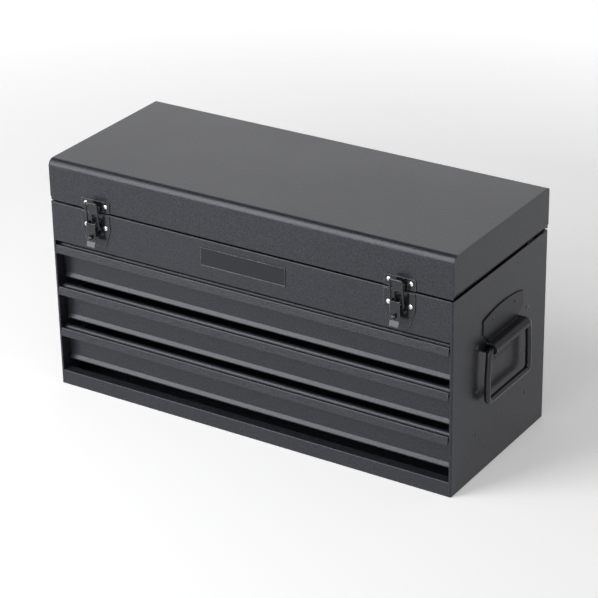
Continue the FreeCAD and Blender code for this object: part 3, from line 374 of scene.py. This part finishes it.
HEAD_SIDES = 32
CROWN_SHARE = 0.62                          # of a head's height, how far its rim lies below the top
CROWN_INSETS = (0.14, 0.2, 0.26, 0.3)       # of its radius, the width of each ring of the crown
CROWN_LIFT, CROWN_FLATTENING = 0.42, 0.56   # a ring's lift, and how much less a wider one rises
RECESS_LONG, RECESS_WIDE = 1.15, 0.3        # of a screw head's radius
RECESS_DEPTH = 1.1                          # of its height, with the middle at its top
SQUARE_ON = 0.9                             # least share of a normal along the way a face points
SORT_WAY = Vector((1.0, 5.37, 31.1))        # along it, no two faces of a ball lie level


def deselect():
    if bpy.context.object and bpy.context.object.mode != "OBJECT":
        bpy.ops.object.mode_set(mode="OBJECT")
    bpy.ops.object.select_all(action="DESELECT")


def pick(piece):
    deselect()
    bpy.context.view_layer.objects.active = piece
    piece.select_set(True)


def choose(piece, wanted):
    """Opens the piece for editing and selects the faces that pass a test."""
    if piece.mode != "EDIT":
        pick(piece)
        bpy.ops.object.mode_set(mode="EDIT")
    bpy.ops.mesh.select_mode(type="FACE")
    bpy.ops.mesh.select_all(action="DESELECT")
    for face in bmesh.from_edit_mesh(piece.data).faces:
        face.select_set(wanted(face))
    bmesh.update_edit_mesh(piece.data)


def smooth(piece, angle):
    """Shades the piece smooth, apart from edges that turn by more than an angle in degrees."""
    pick(piece)
    bpy.ops.object.shade_smooth_by_angle(angle=math.radians(angle))
    return piece


def finish_edit(piece, angle):
    bpy.ops.object.mode_set(mode="OBJECT")
    return smooth(piece, angle)


def apply_modifiers(piece):
    pick(piece)
    for modifier in list(piece.modifiers):
        bpy.ops.object.modifier_apply(modifier=modifier.name)


def apply_place(piece):
    pick(piece)
    bpy.ops.object.transform_apply(location=True, rotation=True, scale=True)


def settle(piece, name, body, slot, *materials):
    """Puts a finished piece's place into its mesh and makes it ride on its body."""
    apply_place(piece)
    piece.name = name
    piece.data.name = name
    piece.data.materials.clear()
    for material in materials:
        piece.data.materials.append(bpy.data.materials[material])
    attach(piece, body)


def copies(pattern, places):
    """Copies of a finished pattern, each with its own mesh, moved to their places and joined."""
    made = []
    for place in places:
        twin = pattern.copy()
        twin.data = pattern.data.copy()
        bpy.context.collection.objects.link(twin)
        twin.matrix_world = place
        made.append(twin)
    bpy.data.objects.remove(pattern)
    pick(made[0])
    for twin in made[1:]:
        twin.select_set(True)
    bpy.ops.object.join()
    return bpy.context.view_layer.objects.active


def fix_order(piece):
    """Lists the edges and faces by place, because the sphere tool's own order changes each run."""
    form = bmesh.new()
    form.from_mesh(piece.data)
    form.edges.sort(key=lambda edge: (edge.verts[0].co + edge.verts[1].co).dot(SORT_WAY))
    form.faces.sort(key=lambda face: face.calc_center_median().dot(SORT_WAY))
    form.to_mesh(piece.data)
    form.free()


def facing(position, way):
    """Where a head sits: at a position, with its crown along a way."""
    turn = Vector(way).to_track_quat("Z", "Y").to_matrix().to_4x4()
    return Matrix.Translation(Vector(position)) @ turn


def domed_head(radius, rise, sides=HEAD_SIDES):
    """Round head that stands on the XY plane, with a short rim and a crowned top."""
    deselect()
    bpy.ops.mesh.primitive_cylinder_add(
        vertices=sides, radius=radius, depth=rise, location=(0, 0, rise / 2))
    head = bpy.context.object
    choose(head, lambda face: face.normal.z > SQUARE_ON)
    bpy.ops.transform.translate(value=(0, 0, -rise * CROWN_SHARE))
    for inset in CROWN_INSETS:
        lift = CROWN_SHARE * (CROWN_LIFT - inset * CROWN_FLATTENING)
        bpy.ops.mesh.inset(thickness=radius * inset, depth=0)
        bpy.ops.transform.translate(value=(0, 0, rise * lift))
    return finish_edit(head, angle=50)


def cross_head(radius, rise):
    """Domed screw head with a cross recess."""
    head = domed_head(radius, rise)
    for across, along in ((RECESS_LONG, RECESS_WIDE), (RECESS_WIDE, RECESS_LONG)):
        deselect()
        bpy.ops.mesh.primitive_cube_add(size=1, location=(0, 0, rise))
        bar = bpy.context.object
        bar.scale = (radius * across, radius * along, rise * RECESS_DEPTH)
        cut = head.modifiers.new("Recess", "BOOLEAN")
        cut.operation = "DIFFERENCE"
        cut.object = bar
        apply_modifiers(head)
        bpy.data.objects.remove(bar)
    return smooth(head, angle=40)


class CHEST_OT_finishes(bpy.types.Operator):
    """Build the finishes and put them on the chest's steel parts"""

    bl_idname = "chest.finishes"
    bl_label = "Finishes"

    def execute(self, context):
        finishes = context.scene.chest_finishes
        groups = {"grain": grain_group(), "edges": edge_group(), "brushing": brushing_group()}
        made = {
            "black_paint": textured_paint(finishes, groups),
            "gloss_black": black_lacquer(
                "Gloss Black Lacquer", finishes, groups, sheen=(0.16, 0.26), coat=0.25),
            "zinc_steel": plated_steel(
                "Zinc Plate", finishes.zinc, groups, roughness=0.34, stretch=ALONG_SLIDES),
            "cage_steel": plated_steel(
                "Rolled Strip", STRIP_COLOUR, groups, roughness=0.42, stretch=ALONG_SLIDES),
        }
        satin = black_lacquer("Satin Black Lacquer", finishes, groups, sheen=(0.34, 0.42), coat=0.0)
        plated_steel("Bright Steel", finishes.bright, groups, roughness=0.22, stretch=EVEN)
        badge_enamel(finishes, groups)
        for part in frame["record"]["subparts"]:
            bracket = part["node"].startswith("handle_bracket")
            node = NODES[part["node"]]
            node.data.materials.clear()
            node.data.materials.append(satin if bracket else made[part["material_slot"]])
        return {"FINISHED"}


class CHEST_OT_badge(bpy.types.Operator):
    """Add the bare badge plate with its plain rim"""

    bl_idname = "chest.badge"
    bl_label = "Badge Plate"

    middle = Vector((0.0001, 0, 0.2062))    # across the chest and up it

    def execute(self, context):
        fittings = context.scene.chest_fittings
        deep = fittings.badge_steel
        slope, sunk, least_sunk, rounded, slack = deep / 4, deep / 3, deep / 4, deep / 6, deep / 10
        spot = self.middle + Y_WAY * (CABINET_LOW.y - deep / 2)
        deselect()
        bpy.ops.mesh.primitive_cube_add(size=1, location=spot, scale=(
            fittings.badge_width, deep, fittings.badge_height))
        plate = bpy.context.object
        apply_place(plate)
        front = spot.y - deep / 2
        choose(plate, lambda face: face.calc_center_median().y < front + slack)
        bpy.ops.mesh.inset(thickness=fittings.badge_rim, depth=0)
        bpy.ops.mesh.inset(thickness=slope, depth=-sunk)
        finish_edit(plate, angle=30)
        rounding = plate.modifiers.new("Rounded Rim", "BEVEL")
        rounding.width = rounded
        rounding.segments = 2
        apply_modifiers(plate)
        settle(plate, "badge_plate", "cabinet",
               "gloss_black", "Gloss Black Lacquer", "Badge Enamel")
        field = fittings.badge_width / 2 - fittings.badge_rim - sunk
        for face in plate.data.polygons:
            in_field = face.center.y > front + least_sunk and abs(face.center.x) < field
            face.material_index = int(in_field and face.normal.y < -SQUARE_ON)
        return {"FINISHED"}


class CHEST_OT_ledge_crowns(bpy.types.Operator):
    """Add the rolled crown along the ledge at the top of each drawer front"""

    bl_idname = "chest.ledge_crowns"
    bl_label = "Ledge Crowns"

    sides = 96
    radius = 0.0036
    middle_back = 0.0095    # of its middle line behind the cabinet's front
    rise = 0.0012           # of its top above the drawer front's
    sunk = 0.0012           # of its cut underside below the drawer front's top
    short = 0.0006          # how far each end stays within the drawer front's

    def execute(self, context):
        for number in DRAWERS:
            low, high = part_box(f"drawer_front_{number}")
            long = high.x - low.x - 2 * self.short
            back, up = CABINET_LOW.y + self.middle_back, high.z + self.rise - self.radius
            deselect()
            bpy.ops.mesh.primitive_cylinder_add(
                vertices=self.sides, radius=self.radius, depth=long,
                location=((low.x + high.x) / 2, back, up), rotation=(0, math.pi / 2, 0))
            crown = bpy.context.object
            apply_place(crown)
            bpy.ops.object.mode_set(mode="EDIT")
            bpy.ops.mesh.select_all(action="SELECT")
            bpy.ops.mesh.bisect(
                plane_co=(0, 0, high.z - self.sunk), plane_no=(0, 0, 1),
                use_fill=True, clear_inner=True)
            finish_edit(crown, angle=30)
            settle(crown, f"ledge_crown_{number}", f"drawer_{number}",
                   "black_paint", "Textured Black Paint")
        return {"FINISHED"}


class CHEST_OT_latch_rivets(bpy.types.Operator):
    """Add the bright rivets that hold the latch plates"""

    bl_idname = "chest.latch_rivets"
    bl_label = "Latch Rivets"

    # How far behind the cabinet's front each plate's rivets sit, and how high
    rows = {"cabinet": (-0.001, 0.2098), "lid": (0.0, 0.2349)}

    def execute(self, context):
        fittings = context.scene.chest_fittings
        spread = fittings.latch_rivet_spread
        latches = [JOINTS[f"lever_{side}_hinge"]["pos_m"][0] for side in SIDES]
        for body, (back, up) in self.rows.items():
            head = domed_head(fittings.latch_rivet_radius, fittings.latch_rivet_rise)
            places = [
                facing((latch + way * spread, CABINET_LOW.y + back, up), -Y_WAY)
                for latch in latches for way in BOTH_WAYS]
            settle(copies(head, places), f"latch_rivets_{body}", body, "zinc_steel", "Bright Steel")
        return {"FINISHED"}


class CHEST_OT_side_rivets(bpy.types.Operator):
    """Add the painted rivets that hold the slides to the chest's ends"""

    bl_idname = "chest.side_rivets"
    bl_label = "Side Rivets"

    above_slide = 0.001
    backs = (-0.0505, 0.0600)       # of each slide's two rivets, from the chest's middle

    def execute(self, context):
        fittings = context.scene.chest_fittings
        places = []
        for number in DRAWERS:
            up = JOINTS[f"drawer_{number}_slide"]["pos_m"][2] + self.above_slide
            for sign in SIDES.values():
                places += [
                    facing((sign * CABINET_HIGH.x, back, up), X_WAY * sign) for back in self.backs]
        head = domed_head(fittings.side_rivet_radius, fittings.side_rivet_rise, sides=24)
        settle(copies(head, places), "side_rivets", "cabinet", "gloss_black", "Gloss Black Lacquer")
        return {"FINISHED"}


class CHEST_OT_handle_screws(bpy.types.Operator):
    """Add the cross-head screws that hold the handle brackets"""

    bl_idname = "chest.handle_screws"
    bl_label = "Handle Screws"

    # Back from the handle's pivot, and up
    spots = ((-0.0240, 0.0278), (0.0240, 0.0278), (-0.0195, -0.0185), (0.0195, -0.0185))
    bracket_steel = 0.0015

    def execute(self, context):
        fittings = context.scene.chest_fittings
        for side, sign in SIDES.items():
            pivot = Vector(JOINTS[f"bail_{side}_hinge"]["pos_m"])
            head = cross_head(fittings.screw_radius, fittings.screw_rise)
            out = sign * (CABINET_HIGH.x + self.bracket_steel)
            places = [
                facing((out, pivot.y + back, pivot.z + up), X_WAY * sign)
                for back, up in self.spots]
            settle(copies(head, places), f"handle_screws_{side}", "cabinet",
                   "gloss_black", "Gloss Black Lacquer")
        return {"FINISHED"}


class CHEST_OT_hinge_rivets(bpy.types.Operator):
    """Add the rivets that hold the two leaves of the hinge"""

    bl_idname = "chest.hinge_rivets"
    bl_label = "Hinge Rivets"

    leaves = {"cabinet": (-0.0092, 6), "lid": (0.0092, 5)}      # height above the pin, and count
    half_pitch = 0.042
    leaf_steel = 0.001

    def execute(self, context):
        fittings = context.scene.chest_fittings
        pin = Vector(JOINTS["lid_hinge"]["pos_m"])
        back = CABINET_HIGH.y + self.leaf_steel
        for body, (up, count) in self.leaves.items():
            head = domed_head(fittings.hinge_rivet_radius, fittings.hinge_rivet_rise, sides=24)
            places = [
                facing(((2 * turn - count + 1) * self.half_pitch, back, pin.z + up), Y_WAY)
                for turn in range(count)]
            settle(copies(head, places), f"hinge_rivets_{body}", body,
                   "black_paint", "Textured Black Paint")
        return {"FINISHED"}


class CHEST_OT_slide_balls(bpy.types.Operator):
    """Add the balls that run in the drawer slides"""

    bl_idname = "chest.slide_balls"
    bl_label = "Slide Balls"

    count = 4               # in each row
    pitch = 0.010
    wall_steel = 0.001
    off_wall = 0.0051       # from the wall's inner face
    off_middle = 0.01385    # above and below the slide's middle line

    def execute(self, context):
        radius = context.scene.chest_fittings.ball_radius
        across = CABINET_HIGH.x - self.wall_steel - self.off_wall
        for number in DRAWERS:
            low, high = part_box(f"ball_cages_{number}")
            middle = (low + high) / 2
            deselect()
            bpy.ops.mesh.primitive_uv_sphere_add(segments=16, ring_count=10, radius=radius)
            ball = bpy.context.object
            fix_order(ball)
            bpy.ops.object.shade_smooth()
            rows = [(sign, way) for sign in SIDES.values() for way in BOTH_WAYS]
            places = [
                Matrix.Translation((
                    sign * across, middle.y + (turn - (self.count - 1) / 2) * self.pitch,
                    middle.z + way * self.off_middle))
                for sign, way in rows for turn in range(self.count)]
            settle(copies(ball, places), f"slide_balls_{number}", f"cages_{number}",
                   "zinc_steel", "Bright Steel")
        return {"FINISHED"}


class CHEST_OT_studio(bpy.types.Operator):
    """Set up the floor, the soft lights and the camera"""

    bl_idname = "chest.studio"
    bl_label = "Studio"

    floor_size = 14
    floor_height = -0.0005
    floor_grey = 0.85
    floor_glow = 0.30               # seen by the camera and in reflections only
    floor_fade = (0.75, 1.25)       # from the chest's middle to where the floor has faded out

    # The dark ceiling and the dark band, as parts of the direction that is looked along
    ceiling_up, ceiling_back = (0.5, 0.65), (-0.2, 0.05)
    band_right, band_back = (0.05, 0.3), (0.1, 0.4)
    band_foot, band_head = (-0.1, 0.05), (0.15, 0.3)
    dark = (0.09, 0.09, 0.09, 1.0)

    # Each lamp's name, property, width and height, and place
    lamps = (
        ("Front Light", "front_power", (1.3, 2.3), (-1.06, -1.63, 1.26)),
        ("Back Light", "back_power", (1.6, 0.9), (-1.1, 1.7, 1.15)),
        ("Strip Light", "strip_power", (0.25, 1.2), (0.25, -2.2, 0.95)),
    )
    lit_point = Vector((0, 0, 0.14))

    azimuth, elevation, roll = 32.820, 25.851, -1.0329
    camera_place = Vector((1.30154, -2.01305, 1.28607))
    sensor_width = 36

    def execute(self, context):
        studio = context.scene.chest_studio
        self.floor()
        self.surround(studio)
        for name, power, size, place in self.lamps:
            self.softbox(name, getattr(studio, power), size, Vector(place))
        self.camera(studio)
        context.scene.view_settings.view_transform = "Standard"
        return {"FINISHED"}

    def floor(self):
        deselect()
        bpy.ops.mesh.primitive_plane_add(size=self.floor_size, location=(0, 0, self.floor_height))
        floor = bpy.context.object
        floor.name = "studio_floor"
        grey = (self.floor_grey,) * 3
        material, tree, surface = new_material("Studio Floor", grey)
        surface.inputs["Base Color"].default_value = (*grey, 1.0)
        surface.inputs["Roughness"].default_value = 0.9
        surface.inputs["Specular IOR Level"].default_value = 0.1
        surface.inputs["Emission Color"].default_value = WHITE
        glow = times(tree, self.seen_ray(tree), self.floor_glow)
        tree.links.new(glow, surface.inputs["Emission Strength"])
        away = add(tree, "ShaderNodeVectorMath", {"operation": "LENGTH"}, i0=object_place(tree))
        fade = ramp(tree, away.outputs["Value"], self.floor_fade, FALLING)
        tree.links.new(fade, surface.inputs["Alpha"])
        floor.data.materials.append(material)

    def seen_ray(self, tree):
        """One for a ray from the camera, a reflection or glass, and nothing for other rays."""
        rays = add(tree, "ShaderNodeLightPath")
        seen = maths(tree, "MAXIMUM", rays.outputs["Is Camera Ray"], rays.outputs["Is Glossy Ray"])
        return maths(tree, "MAXIMUM", seen, rays.outputs["Is Transmission Ray"])

    def surround(self, studio):
        """White surround, with a dark ceiling at the back and a dark band at the back right."""
        world = bpy.data.worlds.new("Studio Surround")
        bpy.context.scene.world = world
        world.use_nodes = True
        tree = world.node_tree
        tree.nodes.clear()
        way = add(tree, "ShaderNodeTexCoord")
        split = add(tree, "ShaderNodeSeparateXYZ", i0=way.outputs["Generated"])
        right, back, up = (split.outputs[axis] for axis in "XYZ")
        ceiling = times(tree, ramp(tree, up, self.ceiling_up), ramp(tree, back, self.ceiling_back))
        beside = times(tree, ramp(tree, right, self.band_right), ramp(tree, back, self.band_back))
        upright = times(
            tree, ramp(tree, up, self.band_foot), ramp(tree, up, self.band_head, FALLING))
        darkness = maths(tree, "MAXIMUM", ceiling, times(tree, beside, upright))
        tone = mixed(tree, darkness, WHITE, self.dark)
        level = ramp(tree, self.seen_ray(tree), RISING, (studio.ambient, 1.0))
        light = add(tree, "ShaderNodeBackground", Color=tone, Strength=level)
        end = tree.nodes.new("ShaderNodeOutputWorld")
        tree.links.new(light.outputs[0], end.inputs["Surface"])

    def softbox(self, name, power, size, place):
        lamp = bpy.data.lights.new(name, "AREA")
        lamp.shape = "RECTANGLE"
        lamp.size, lamp.size_y = size
        lamp.energy = power
        holder = bpy.data.objects.new(name, lamp)
        bpy.context.collection.objects.link(holder)
        aim = (self.lit_point - place).to_track_quat("-Z", "Y")
        holder.matrix_world = Matrix.Translation(place) @ aim.to_matrix().to_4x4()

    def camera(self, studio):
        across, up, roll = (
            math.radians(angle) for angle in (self.azimuth, self.elevation, self.roll))
        back = Vector((
            math.sin(across) * math.cos(up), -math.cos(across) * math.cos(up), math.sin(up)))
        level = Z_WAY.cross(back).normalized()
        upright = back.cross(level)
        right = level * math.cos(roll) + upright * math.sin(roll)
        top = upright * math.cos(roll) - level * math.sin(roll)
        lens = bpy.data.cameras.new("Camera")
        lens.sensor_width = self.sensor_width
        lens.lens = studio.lens
        camera = bpy.data.objects.new("Camera", lens)
        bpy.context.collection.objects.link(camera)
        turn = Matrix((right, top, back)).transposed().to_4x4()
        camera.matrix_world = Matrix.Translation(self.camera_place) @ turn
        bpy.context.scene.camera = camera


class CHEST_PT_panel(bpy.types.Panel):
    """Sizes, colours and steps of the tool chest"""

    bl_label = "Tool Chest"
    bl_space_type = "VIEW_3D"
    bl_region_type = "UI"
    bl_category = "Tool Chest"

    def draw(self, context):
        layout = self.layout
        for name in GROUPS:
            group = getattr(context.scene, name)
            box = layout.box()
            for prop in group.bl_rna.properties:
                if prop.identifier not in ("rna_type", "name"):
                    box.prop(group, prop.identifier)
        for operator in OPERATORS:
            layout.operator(operator.bl_idname)


GROUPS = {
    "chest_finishes": ChestFinishes, "chest_fittings": ChestFittings, "chest_studio": ChestStudio}
OPERATORS = (
    CHEST_OT_studio, CHEST_OT_finishes, CHEST_OT_badge, CHEST_OT_ledge_crowns,
    CHEST_OT_latch_rivets, CHEST_OT_side_rivets, CHEST_OT_handle_screws, CHEST_OT_hinge_rivets,
    CHEST_OT_slide_balls)


def register():
    for group in GROUPS.values():
        bpy.utils.register_class(group)
    for name, group in GROUPS.items():
        setattr(bpy.types.Scene, name, bpy.props.PointerProperty(type=group))
    for kind in (*OPERATORS, CHEST_PT_panel):
        bpy.utils.register_class(kind)


def unregister():
    for kind in (CHEST_PT_panel, *reversed(OPERATORS)):
        bpy.utils.unregister_class(kind)
    for name in GROUPS:
        delattr(bpy.types.Scene, name)
    for group in GROUPS.values():
        bpy.utils.unregister_class(group)


def main():
    register()
    bpy.ops.chest.studio()
    bpy.ops.chest.finishes()
    bpy.ops.chest.badge()
    bpy.ops.chest.ledge_crowns()
    bpy.ops.chest.latch_rivets()
    bpy.ops.chest.side_rivets()
    bpy.ops.chest.handle_screws()
    bpy.ops.chest.hinge_rivets()
    bpy.ops.chest.slide_balls()


if __name__ == "__main__":
    main()
